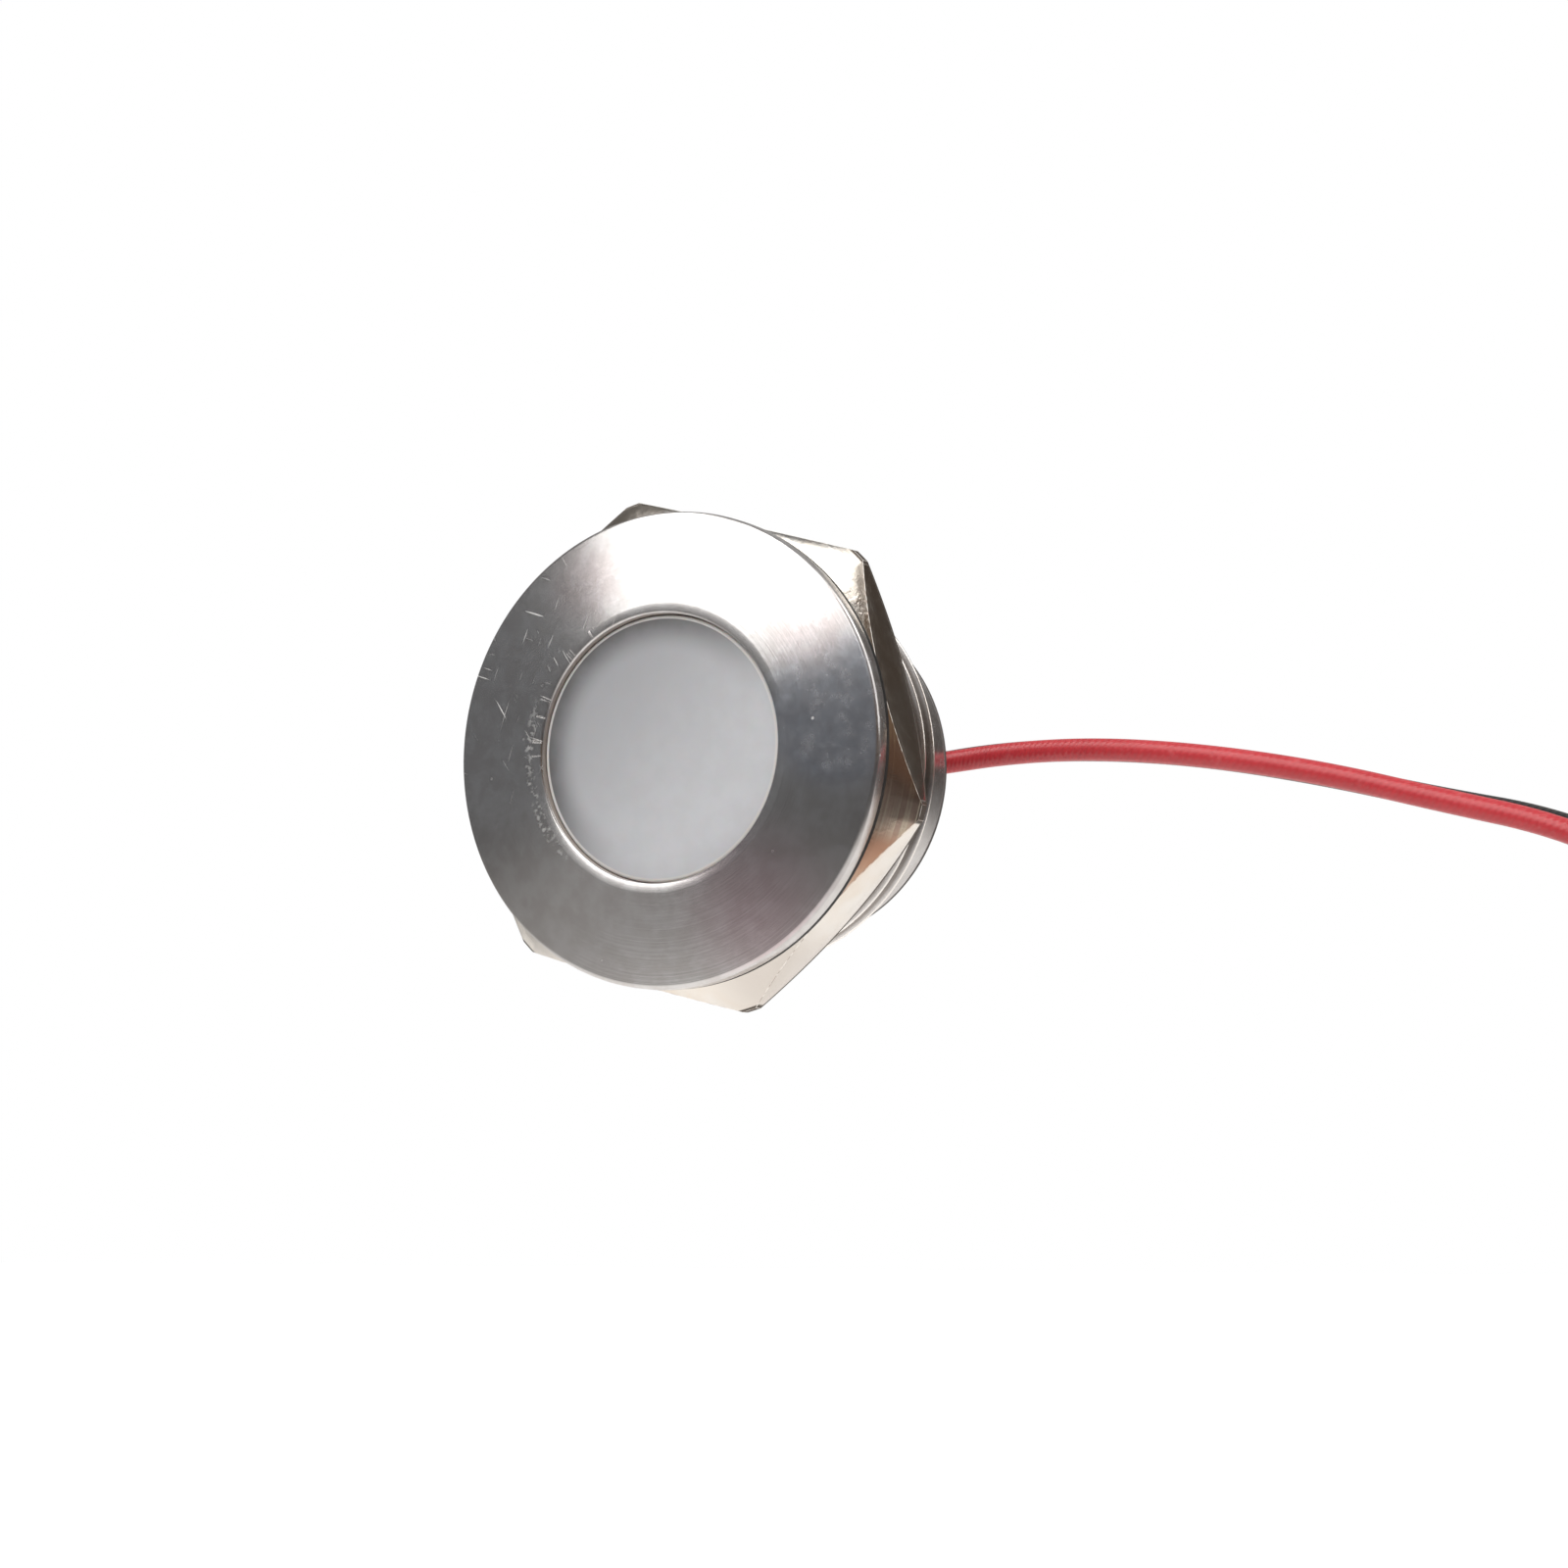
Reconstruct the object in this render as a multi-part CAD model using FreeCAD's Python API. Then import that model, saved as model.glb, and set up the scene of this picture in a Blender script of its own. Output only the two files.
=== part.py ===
import FreeCAD, Part
import math
import os

# Panel pilot light for a 30 mm hole, in millimetres.
# The light's axis is Y: the lens looks along -Y and the leads leave along +Y.
# The origin is on that axis, in the plane that lies against the panel's front.
# +Z is up.

# Bezel and barrel, turned from one bar
bezel_overhang = 2.5
rim_height = 1.3
rim_round = 0.35
face_rise = 1.07
window_d = 19.7
land_width = 0.75
window_break = 0.12
lip_thickness = 1.9
thread_d = 30.0
thread_pitch = 1.5
thread_length = 13.9
neck_wall = 1.4
body_length = 19.0
end_chamfer = 0.35

# Panel gasket
gasket_t = 0.5
gasket_inset = 0.05
gasket_play = 0.2

# Hexagon nut
nut_wall = 2.25
nut_height = 4.6
nut_chamfer_inset = 0.1
nut_chamfer_deg = 38.0
nut_corner_cut = 0.32
nut_turned_deg = 14.7
nut_gap = 0.05
thread_clearance = 0.05

# Lens and its seal
seal_t = 0.5
lens_recess = 0.45
lens_clearance = 0.12
lens_flange_t = 1.5
lens_flange_width = 1.55
lens_edge = 0.2
stack_clearance = 0.1

# Reflector cup
cup_depth = 5.0
cup_wall = 1.3
cup_taper = 1.8

# Circuit board and what is soldered to it
board_t = 1.0
led_count = 6
led_circle_d = 10.4
led_length = 3.5
led_width = 2.8
led_height = 1.2
resistor_size = (3.2, 1.6, 0.6)
resistor_spread = 3.4
resistor_drop = 5.0
diode_size = (4.4, 2.6, 2.1)
diode_rise = 5.2
solder_d = 3.0
solder_top_d = 2.2
solder_h = 1.4

# Spacer ring and rear plug
spacer_wall = 0.9
plug_t = 3.4
plug_recess = 0.4
plug_chamfer = 0.3
lead_hole_clearance = 0.06

# Leads
lead_d = 1.75
lead_spacing = 3.2
tip_d = 0.9
tip_length = 6.0

# Points that each lead's route goes by, after its exit, and the one where it ends
red_points = [
    (1.6, 22.3, 0.2),
    (2.9, 26.6, 0.8),
    (6.9, 29.8, 1.6),
    (13.0, 30.2, 2.2),
    (21.0, 29.2, 2.0),
    (30.5, 27.8, 0.8),
    (40.5, 26.2, -1.2),
    (50.0, 24.4, -3.8),
    (59.0, 22.6, -6.1),
    (66.5, 21.0, -9.6),
    (71.0, 20.0, -16.8),
    (72.6, 19.6, -26.0),
    (72.9, 19.5, -38.5),
    (72.6, 19.7, -52.0),
    (72.9, 19.5, -66.0),
    (72.7, 19.6, -79.0),
]
black_points = [
    (-1.6, 23.0, 0.2),
    (-0.6, 28.2, 0.7),
    (3.8, 32.0, 1.7),
    (10.5, 32.7, 2.5),
    (19.2, 31.6, 2.3),
    (29.0, 30.1, 1.2),
    (39.2, 28.4, -0.8),
    (49.0, 26.6, -3.3),
    (58.3, 24.8, -5.4),
    (66.0, 23.4, -9.0),
    (71.2, 22.6, -15.6),
    (73.2, 22.3, -25.0),
    (73.4, 22.2, -37.5),
    (73.7, 22.3, -51.0),
    (73.4, 22.2, -65.0),
    (73.6, 22.2, -77.0),
]

# Places along the axis, worked out from the sizes above
bezel_back = -gasket_t
rim_front = bezel_back - rim_height
land_y = rim_front - face_rise
lip_back = land_y + lip_thickness
lens_front = land_y + lens_recess
lens_flange_front = lip_back + seal_t
lens_back = lens_flange_front + lens_flange_t
cup_back = lens_back + cup_depth
board_back = cup_back + board_t
plug_back = body_length - plug_recess
plug_front = plug_back - plug_t

# The thread's end is turned down at 45 degrees to the depth of the thread
thread_depth = 0.6134 * thread_pitch

# Radii shared by pieces that fit each other
thread_r = thread_d / 2
barrel_r = thread_r - thread_clearance
head_r = thread_r + bezel_overhang
nut_flat_r = thread_r + nut_wall
window_r = window_d / 2
lens_r = window_r - lens_clearance
bore_r = window_r + lens_flange_width
stack_r = bore_r - stack_clearance
neck_r = bore_r + neck_wall
cup_mouth_r = stack_r - cup_wall
lead_r = lead_d / 2

AXIS = FreeCAD.Vector(0, 1, 0)
ORIGIN = FreeCAD.Vector(0, 0, 0)


def profile_edges(points):
    """Straight edges between (radius, y) points, closed back to the first."""
    corners = [FreeCAD.Vector(r, y, 0) for r, y in points]
    return Part.makePolygon(corners + [corners[0]])


def turned(points):
    """A solid of revolution about the light's axis."""
    return Part.Face(profile_edges(points)).revolve(ORIGIN, AXIS, 360)


def ring(outer_r, inner_r, y0, y1):
    return turned([(inner_r, y0), (outer_r, y0), (outer_r, y1), (inner_r, y1)])


def disc(r, y0, y1, x=0.0, z=0.0):
    return Part.makeCylinder(r, y1 - y0, FreeCAD.Vector(x, y0, z), AXIS)


def block(size, x, y0, z):
    """A block of (along X, along Z, height along Y) centred on x, z."""
    length, width, height = size
    corner = FreeCAD.Vector(x - length / 2, y0, z - width / 2)
    return Part.makeBox(length, height, width, corner)


def save(name, shape):
    shape = shape.removeSplitter()
    if shape.ShapeType == "Compound" and len(shape.Solids) == 1:
        shape = shape.Solids[0]
    shape.exportStep("parts/" + name + ".step")
    print(name, "volume %.2f mm3" % shape.Volume, "valid", shape.isValid())


def make_housing():
    """Bezel with a coned face, land round the window, threaded barrel and plain neck."""
    body = turned([
        (window_r, land_y),
        (window_r + land_width, land_y),
        (head_r, rim_front),
        (head_r, bezel_back),
        (barrel_r, bezel_back),
        (barrel_r, thread_length - thread_depth),
        (barrel_r - thread_depth, thread_length),
        (neck_r, thread_length),
        (neck_r, body_length - end_chamfer),
        (neck_r - end_chamfer, body_length),
        (bore_r, body_length),
        (bore_r, lip_back),
        (window_r, lip_back),
    ])
    rim = circles_at(body, head_r, rim_front)
    body = body.makeFillet(rim_round, rim)
    window = circles_at(body, window_r, land_y)
    return body.makeChamfer(window_break, window)


def circles_at(shape, r, y):
    """The round edges of that radius in the plane at y."""
    found = []
    for edge in shape.Edges:
        curve = edge.Curve
        if not isinstance(curve, Part.Circle):
            continue
        if abs(curve.Radius - r) < 1e-4 and abs(curve.Center.y - y) < 1e-4:
            found.append(edge)
    return found


def make_lens():
    """Milky window: a boss that fills the bezel's opening, on a flange behind the lip."""
    return turned([
        (0, lens_front),
        (lens_r - lens_edge, lens_front),
        (lens_r, lens_front + lens_edge),
        (lens_r, lens_flange_front),
        (stack_r, lens_flange_front),
        (stack_r, lens_back),
        (0, lens_back),
    ])


def make_cup():
    """White cup, wide at the lens and narrower at the board."""
    return turned([
        (cup_mouth_r, lens_back),
        (stack_r, lens_back),
        (stack_r, cup_back),
        (cup_mouth_r - cup_taper, cup_back),
    ])


def make_led(number):
    """One surface-mount diode, with its long side along the circle it sits on."""
    angle = 360.0 * number / led_count
    body = block((led_width, led_length, led_height), led_circle_d / 2, cup_back - led_height, 0)
    body.rotate(ORIGIN, AXIS, angle)
    return body


def make_board_part(size, x, z):
    return block(size, x, board_back, z)


def make_solder(x):
    """A fillet of solder round the foot of a lead."""
    joint = turned([
        (lead_r, board_back),
        (solder_d / 2, board_back),
        (solder_top_d / 2, board_back + solder_h),
        (lead_r, board_back + solder_h),
    ])
    joint.translate(FreeCAD.Vector(x, 0, 0))
    return joint


def make_spacer():
    return ring(stack_r, stack_r - spacer_wall, board_back, plug_front)


def make_plug():
    """Closing plug with a hole for each lead and a broken rear edge."""
    plug = turned([
        (0, plug_front),
        (stack_r, plug_front),
        (stack_r, plug_back - plug_chamfer),
        (stack_r - plug_chamfer, plug_back),
        (0, plug_back),
    ])
    for side in (-1, 1):
        hole = disc(lead_r + lead_hole_clearance, plug_front - 1, plug_back + 1, side * lead_spacing / 2)
        plug = plug.cut(hole)
    return plug


def make_gasket():
    return ring(head_r - gasket_inset, thread_r + gasket_play, bezel_back, 0)


def make_nut():
    """Hexagon nut, turned so that both faces are chamfered and its corners are cut back."""
    front = nut_gap
    back = front + nut_height
    sharp_r = nut_flat_r / math.cos(math.radians(30))
    corner_r = sharp_r - nut_corner_cut
    face_r = nut_flat_r - nut_chamfer_inset
    turns = [math.radians(nut_turned_deg + 30 + 60 * k) for k in range(6)]
    corners = [FreeCAD.Vector(sharp_r * math.cos(t), front, sharp_r * math.sin(t)) for t in turns]
    hexagon = Part.Face(Part.makePolygon(corners + [corners[0]])).extrude(AXIS * nut_height)
    depth = (corner_r - face_r) * math.tan(math.radians(nut_chamfer_deg))
    envelope = turned([
        (0, front),
        (face_r, front),
        (corner_r, front + depth),
        (corner_r, back - depth),
        (face_r, back),
        (0, back),
    ])
    hole = disc(thread_r, front - 1, back + 1)
    return hexagon.common(envelope).cut(hole)


def smooth_path(points, name):
    """Straight runs joined by tangent arcs, each as large as its two runs allow."""
    nodes = [FreeCAD.Vector(*p) for p in points]
    edges = []
    radii = []
    start = nodes[0]
    for before, here, after in zip(nodes, nodes[1:], nodes[2:]):
        back = (before - here).normalize()
        on = (after - here).normalize()
        half_turn = (math.pi - back.getAngle(on)) / 2
        reach = 0.45 * min((here - before).Length, (after - here).Length)
        radius = reach / math.tan(half_turn)
        inward = (back + on).normalize()
        middle = here + inward * (radius / math.cos(half_turn) - radius)
        first = here + back * reach
        last = here + on * reach
        edges.append(Part.LineSegment(start, first).toShape())
        edges.append(Part.Arc(first, middle, last).toShape())
        radii.append(radius)
        start = last
    edges.append(Part.LineSegment(start, nodes[-1]).toShape())
    print(name, "bend radii", [round(r, 1) for r in radii])
    return Part.Wire(edges)


def make_lead(name, x, points):
    """Insulated wire from its solder joint, out through the plug, and along its route."""
    foot = (x, board_back, 0)
    exit_point = (x, plug_back, 0)
    path = smooth_path([exit_point] + points, name)
    inner = disc(lead_r, board_back, plug_back, x)
    section = Part.Wire(Part.Circle(FreeCAD.Vector(*exit_point), AXIS, lead_r).toShape())
    tube = path.makePipeShell([section], True, False)
    expected = math.pi * lead_r ** 2 * path.Length
    print(name, "free length %.1f" % path.Length, "volume %.2f of %.2f" % (tube.Volume, expected))
    print(name, "whole length %.1f" % (path.Length + plug_back - foot[1]))
    return tube.fuse(inner)


def make_tip(points):
    """Stripped and tinned end, carrying straight on from the insulation."""
    end = FreeCAD.Vector(*points[-1])
    direction = (end - FreeCAD.Vector(*points[-2])).normalize()
    return Part.makeCylinder(tip_d / 2, tip_length, end, direction)


os.makedirs("parts", exist_ok=True)

red_x = lead_spacing / 2
black_x = -lead_spacing / 2

save("bezel_housing", make_housing())
save("lens", make_lens())
save("lens_seal", ring(stack_r, window_r, lip_back, lens_flange_front))
save("reflector_cup", make_cup())
save("led_board", disc(stack_r, cup_back, board_back))
for index in range(led_count):
    save("led_%d" % (index + 1), make_led(index))
save("resistor_1", make_board_part(resistor_size, -resistor_spread, -resistor_drop))
save("resistor_2", make_board_part(resistor_size, resistor_spread, -resistor_drop))
save("polarity_diode", make_board_part(diode_size, 0, diode_rise))
save("red_solder_joint", make_solder(red_x))
save("black_solder_joint", make_solder(black_x))
save("board_spacer", make_spacer())
save("rear_plug", make_plug())
save("panel_gasket", make_gasket())
save("hex_nut", make_nut())
save("red_lead", make_lead("red_lead", red_x, red_points))
save("red_lead_tip", make_tip(red_points))
save("black_lead", make_lead("black_lead", black_x, black_points))
save("black_lead_tip", make_tip(black_points))
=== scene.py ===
import bpy
import bmesh
import math
from mathutils import Matrix, Vector


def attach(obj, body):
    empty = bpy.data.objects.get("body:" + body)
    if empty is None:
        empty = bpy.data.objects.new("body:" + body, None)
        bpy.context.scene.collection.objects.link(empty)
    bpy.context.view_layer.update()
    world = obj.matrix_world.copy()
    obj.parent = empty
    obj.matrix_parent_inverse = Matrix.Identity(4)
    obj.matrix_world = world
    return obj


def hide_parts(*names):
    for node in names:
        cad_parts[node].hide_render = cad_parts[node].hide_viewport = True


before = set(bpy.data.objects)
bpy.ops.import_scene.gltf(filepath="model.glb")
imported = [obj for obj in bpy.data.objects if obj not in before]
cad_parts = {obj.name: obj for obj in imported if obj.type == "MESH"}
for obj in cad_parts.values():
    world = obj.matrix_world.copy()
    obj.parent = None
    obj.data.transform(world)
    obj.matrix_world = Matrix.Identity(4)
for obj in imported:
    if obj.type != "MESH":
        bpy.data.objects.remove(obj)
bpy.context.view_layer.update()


# Camera. It stands in front of the light, 28 degrees round to the right and a little below the axis,
# and looks past the bezel's edge, so that the leads run out of the picture on the right.
mm = 0.001
picture_pixels = 1600
camera_focal_pixels = 4188
camera_sensor = 36.0
camera_distance = 300
camera_azimuth = math.radians(28.3)
camera_elevation = math.radians(-5.9)
aim_right = 8.07
aim_up = -2.42
aim_y = -0.5
bpy.ops.object.select_all(action="DESELECT")
bpy.context.scene.view_settings.view_transform = "Standard"
camera_back = Vector((math.sin(camera_azimuth) * math.cos(camera_elevation),
                      -math.cos(camera_azimuth) * math.cos(camera_elevation),
                      math.sin(camera_elevation)))
camera_right = Vector((math.cos(camera_azimuth), math.sin(camera_azimuth), 0))
camera_up = camera_back.cross(camera_right)
camera_target = camera_right * aim_right * mm + camera_up * aim_up * mm + Vector((0, aim_y * mm, 0))
bpy.ops.object.camera_add(location=camera_target + camera_back * camera_distance * mm)
camera = bpy.context.object
camera.rotation_euler = Matrix((camera_right, camera_up, camera_back)).transposed().to_euler()
camera.data.sensor_width = camera_sensor
camera.data.lens = camera_sensor * camera_focal_pixels / picture_pixels
camera.data.clip_start = 0.01
bpy.context.scene.camera = camera


# Lead tips. The last 6 mm of each lead is stripped: six tinned copper strands laid round a seventh,
# twisted and dipped, so that they go into a terminal's hole as one.
tip_length = 6.0
tip_hidden = 0.5
strand_r = 0.15
strand_sides = 10
strand_steps = 12
strand_turn = 0.9
red_end = [(72.9, 19.5, -66.0), (72.7, 19.6, -79.0)]
black_end = [(73.4, 22.2, -65.0), (73.6, 22.2, -77.0)]


def feed(tree, socket, value):
    """Sets a socket to a constant, or links it to the socket that feeds it."""
    if isinstance(value, bpy.types.NodeSocket):
        tree.links.new(value, socket)
    else:
        socket.default_value = value


def add_node(tree, kind, inputs, **settings):
    """A node with its settings; each input is a constant or the socket that feeds it."""
    node = tree.nodes.new("ShaderNode" + kind)
    for name, value in settings.items():
        setattr(node, name, value)
    for name, value in inputs.items():
        feed(tree, node.inputs[name], value)
    return node


def noise(tree, at, scale, detail=2, **more):
    """Cloudy noise from 0 to 1, with features of about 1 / scale metres."""
    inputs = {"Vector": at, "Scale": scale, "Detail": detail}
    return add_node(tree, "TexNoise", {**inputs, **more}).outputs["Fac"]


def fade(tree, value, low, high, start=0.0, end=1.0):
    """Goes smoothly from start to end while the value goes from low to high."""
    inputs = {"Value": value, "From Min": low, "From Max": high, "To Min": start, "To Max": end}
    return add_node(tree, "MapRange", inputs, interpolation_type="SMOOTHSTEP").outputs["Result"]


def tint(tree, share, first, second):
    """The first colour where the share is 0 and the second where it is 1."""
    mix = tree.nodes.new("ShaderNodeMix")
    mix.data_type = "RGBA"
    feed(tree, mix.inputs[0], share)
    for socket, colour in ((mix.inputs[6], first), (mix.inputs[7], second)):
        feed(tree, socket, colour if isinstance(colour, bpy.types.NodeSocket) else (*colour, 1))
    return mix.outputs[2]


def relief(tree, height, depth_mm, strength=1.0, under=None):
    """The surface normal bent by a height from 0 to 1 that stands for so many millimetres."""
    inputs = {"Height": height, "Distance": depth_mm * mm, "Strength": strength}
    if under:
        inputs["Normal"] = under
    return add_node(tree, "Bump", inputs).outputs["Normal"]


def new_material(name, colour, roughness, metallic=0.0):
    """A material with its node tree, its shader and its place on the object."""
    finish = bpy.data.materials.new(name)
    finish.use_nodes = True
    tree = finish.node_tree
    shader = tree.nodes["Principled BSDF"]
    shader.inputs["Base Color"].default_value = (*colour, 1)
    shader.inputs["Roughness"].default_value = roughness
    shader.inputs["Metallic"].default_value = metallic
    place = tree.nodes.new("ShaderNodeTexCoord")
    return finish, tree, shader, place.outputs["Object"]


tinned, tree, shader, at = new_material("tinned_strands", (0.62, 0.61, 0.6), 0.28, 1.0)
bare_copper = fade(tree, noise(tree, at, 700), 0.62, 0.72)
feed(tree, shader.inputs["Base Color"], tint(tree, bare_copper, (0.64, 0.63, 0.62), (0.55, 0.4, 0.3)))
feed(tree, shader.inputs["Normal"], relief(tree, noise(tree, at, 1800), 0.008))


def make_tip(name, before_end, end):
    """Seven strands drawn out along the lead's own direction and turned together as they go."""
    bpy.ops.object.select_all(action="DESELECT")
    bpy.ops.mesh.primitive_circle_add(vertices=strand_sides, radius=strand_r * mm, fill_type="NGON")
    tip = bpy.context.object
    tip.name = name
    bpy.ops.object.mode_set(mode="EDIT")
    for number in range(6):
        angle = math.radians(60 * number)
        offset = (2 * strand_r * math.cos(angle) * mm, 2 * strand_r * math.sin(angle) * mm, 0)
        bpy.ops.mesh.primitive_circle_add(vertices=strand_sides, radius=strand_r * mm, fill_type="NGON",
                                          location=offset)
    bpy.ops.mesh.select_all(action="SELECT")
    rise = (tip_length + tip_hidden) / strand_steps * mm
    twist = 2 * math.pi * strand_turn / strand_steps
    for _ in range(strand_steps):
        bpy.ops.mesh.extrude_region_move(TRANSFORM_OT_translate={"value": (0, 0, rise)})
        bpy.ops.transform.rotate(value=twist, orient_axis="Z", center_override=(0, 0, 0))
    bpy.ops.mesh.select_all(action="SELECT")
    bpy.ops.mesh.normals_make_consistent(inside=False)
    bpy.ops.object.mode_set(mode="OBJECT")
    along = (Vector(end) - Vector(before_end)).normalized()
    turn = along.to_track_quat("Z", "Y").to_matrix().to_4x4()
    tip.data.transform(Matrix.Translation((Vector(end) - along * tip_hidden) * mm) @ turn)
    bpy.ops.object.shade_smooth_by_angle(angle=math.radians(40))
    tip.data.materials.append(tinned)
    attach(tip, "housing")
    return tip


red_tip = make_tip("red_tip_strands", *red_end)
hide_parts("red_lead_tip")
black_tip = make_tip("black_tip_strands", *black_end)
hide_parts("black_lead_tip")


# Leads. Stranded copper wire in soft PVC, red for plus and black for minus. They come out of the plug
# side by side, bend to the right and hang down. The strands show through the insulation as fine lumps.
lead_d = 1.75
lead_exit_y = 18.6
lead_strands = 7
red_route = [
    (1.6, lead_exit_y, 0), (1.6, 22.3, 0.2), (2.9, 26.6, 0.8), (6.9, 29.8, 1.6), (13.0, 30.2, 2.2),
    (21.0, 29.2, 2.0), (30.5, 27.8, 0.8), (40.5, 26.2, -1.2), (50.0, 24.4, -3.8), (59.0, 22.6, -6.1),
    (66.5, 21.0, -9.6), (71.0, 20.0, -16.8), (72.6, 19.6, -26.0), (72.9, 19.5, -38.5),
    (72.6, 19.7, -52.0), *red_end,
]
black_route = [
    (-1.6, lead_exit_y, 0), (-1.6, 23.0, 0.2), (-0.6, 28.2, 0.7), (3.8, 32.0, 1.7), (10.5, 32.7, 2.5),
    (19.2, 31.6, 2.3), (29.0, 30.1, 1.15), (39.2, 28.4, -0.93), (49.0, 26.6, -3.45), (58.3, 24.8, -5.5),
    (66.0, 23.4, -9.0), (71.2, 22.6, -15.6), (73.2, 22.3, -25.0), (73.4, 22.2, -37.5),
    (73.7, 22.3, -51.0), *black_end,
]


def reckon(tree, operation, first, second=0.0, third=0.0):
    """One step of arithmetic on sockets or constants."""
    return add_node(tree, "Math", {0: first, 1: second, 2: third}, operation=operation).outputs[0]


def new_group(name, inputs, outputs):
    """An empty node group, with the sockets that it is given and those that it has to feed."""
    group = bpy.data.node_groups.new(name, "ShaderNodeTree")
    for socket, kind in inputs.items():
        group.interface.new_socket(socket, in_out="INPUT", socket_type="NodeSocket" + kind)
    for socket in outputs:
        group.interface.new_socket(socket, in_out="OUTPUT", socket_type="NodeSocketFloat")
    return group, group.nodes.new("NodeGroupInput").outputs, group.nodes.new("NodeGroupOutput").inputs


def use_group(tree, group, inputs):
    """Places a node group in a material and gives back what it puts out."""
    node = tree.nodes.new("ShaderNodeGroup")
    node.node_tree = group
    for name, value in inputs.items():
        feed(tree, node.inputs[name], value)
    return node.outputs


# Shared by both leads: the strands' spiral, which shows through the insulation.
strand_lumps, given, wanted = new_group(
    "strand_lumps", {"UV": "Vector", "Lumps": "Float", "Strands": "Float"}, ["Height"])
on_wire = add_node(strand_lumps, "SeparateXYZ", {0: given["UV"]})
along = reckon(strand_lumps, "MULTIPLY", on_wire.outputs["X"], given["Lumps"])
phase = reckon(strand_lumps, "MULTIPLY_ADD", on_wire.outputs["Y"], given["Strands"], along)
wave = reckon(strand_lumps, "SINE", reckon(strand_lumps, "MULTIPLY", phase, 2 * math.pi))
feed(strand_lumps, wanted["Height"], reckon(strand_lumps, "MULTIPLY_ADD", wave, 0.5, 0.5))


def insulation(name, colour, deep_and_shade_colour, scuff_colour, roughness, lumps):
    """Satin PVC with a cloudy tint, fine lumps from the strands inside, painted shade in the lumps' hollows,
    and a scuffed skin.
    """
    finish, tree, shader, at = new_material(name, colour, roughness)
    shader.inputs["Subsurface Weight"].default_value = 0.06
    shader.inputs["Subsurface Scale"].default_value = 0.4 * mm
    unrolled = add_node(tree, "TexCoord", {}).outputs["UV"]
    lump = use_group(tree, strand_lumps, {"UV": unrolled, "Lumps": lumps, "Strands": lead_strands})
    height = lump["Height"]
    cloudy = tint(tree, noise(tree, at, 260, 4), colour, deep_and_shade_colour)
    # Painted shade: the colour is darker in the hollows between the lumps.
    shaded_hollows = tint(tree, fade(tree, height, 0.45, 0.0, 0.0, 0.25), cloudy, deep_and_shade_colour)
    scuffs = fade(tree, noise(tree, at, 900, 6), 0.56, 0.75, 0.0, 0.2)
    feed(tree, shader.inputs["Base Color"], tint(tree, scuffs, shaded_hollows, scuff_colour))
    feed(tree, shader.inputs["Roughness"], reckon(tree, "ADD", scuffs, roughness))
    lumpy = relief(tree, height, 0.02)
    feed(tree, shader.inputs["Normal"], relief(tree, noise(tree, at, 3000), 0.003, under=lumpy))
    return finish


def lay_lead(name, route, finish, node):
    """One insulated wire as a round-sectioned curve through its route."""
    line = bpy.data.curves.new(name, "CURVE")
    line.dimensions = "3D"
    line.bevel_depth = lead_d / 2 * mm
    line.bevel_resolution = 7
    line.resolution_u = 24
    line.use_fill_caps = True
    run = line.splines.new("NURBS")
    run.points.add(len(route) - 1)
    for point, place in zip(run.points, route):
        point.co = (*(c * mm for c in place), 1)
    run.order_u = 3
    run.use_endpoint_u = True
    lead = bpy.data.objects.new(name, line)
    bpy.context.scene.collection.objects.link(lead)
    lead.data.materials.append(finish)
    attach(lead, "housing")
    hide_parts(node)


red_pvc = insulation("red_insulation", (0.68, 0.056, 0.07), (0.52, 0.038, 0.048), (0.75, 0.25, 0.25),
                     0.32, 235)
black_pvc = insulation("black_insulation", (0.028, 0.026, 0.026), (0.016, 0.015, 0.016), (0.09, 0.09, 0.09),
                       0.3, 240)
lay_lead("red_wire", red_route, red_pvc, "red_lead")
lay_lead("black_wire", black_route, black_pvc, "black_lead")


# Bezel and barrel, one bar of brass turned and nickel plated. The face is a shallow cone with fine
# turning marks, a narrow flat land round the window, and a barrel threaded M30 x 1.5 behind it.
window_r = 9.85
land_r = 10.6
head_r = 17.5
land_y = -2.87
rim_front_y = -1.8
bezel_back_y = -0.5
lip_back_y = -0.97
bore_r = 11.4
neck_r = 12.8
body_length = 19.0
thread_r = 14.95
thread_root_r = 14.03
thread_length = 13.9
thread_pitch = 1.5
round_steps = 256


def select_ring(piece, rings):
    """In edit mode, selects only the edges that run round the axis on these (radius, y) rings."""
    bpy.ops.mesh.select_all(action="DESELECT")
    shape = bmesh.from_edit_mesh(piece.data)
    for edge in shape.edges:
        for r, y in rings:
            if all(abs(math.hypot(v.co.x, v.co.z) - r * mm) < 1e-6 and abs(v.co.y - y * mm) < 1e-6
                   for v in edge.verts):
                edge.select_set(True)
    bmesh.update_edit_mesh(piece.data)


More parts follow.
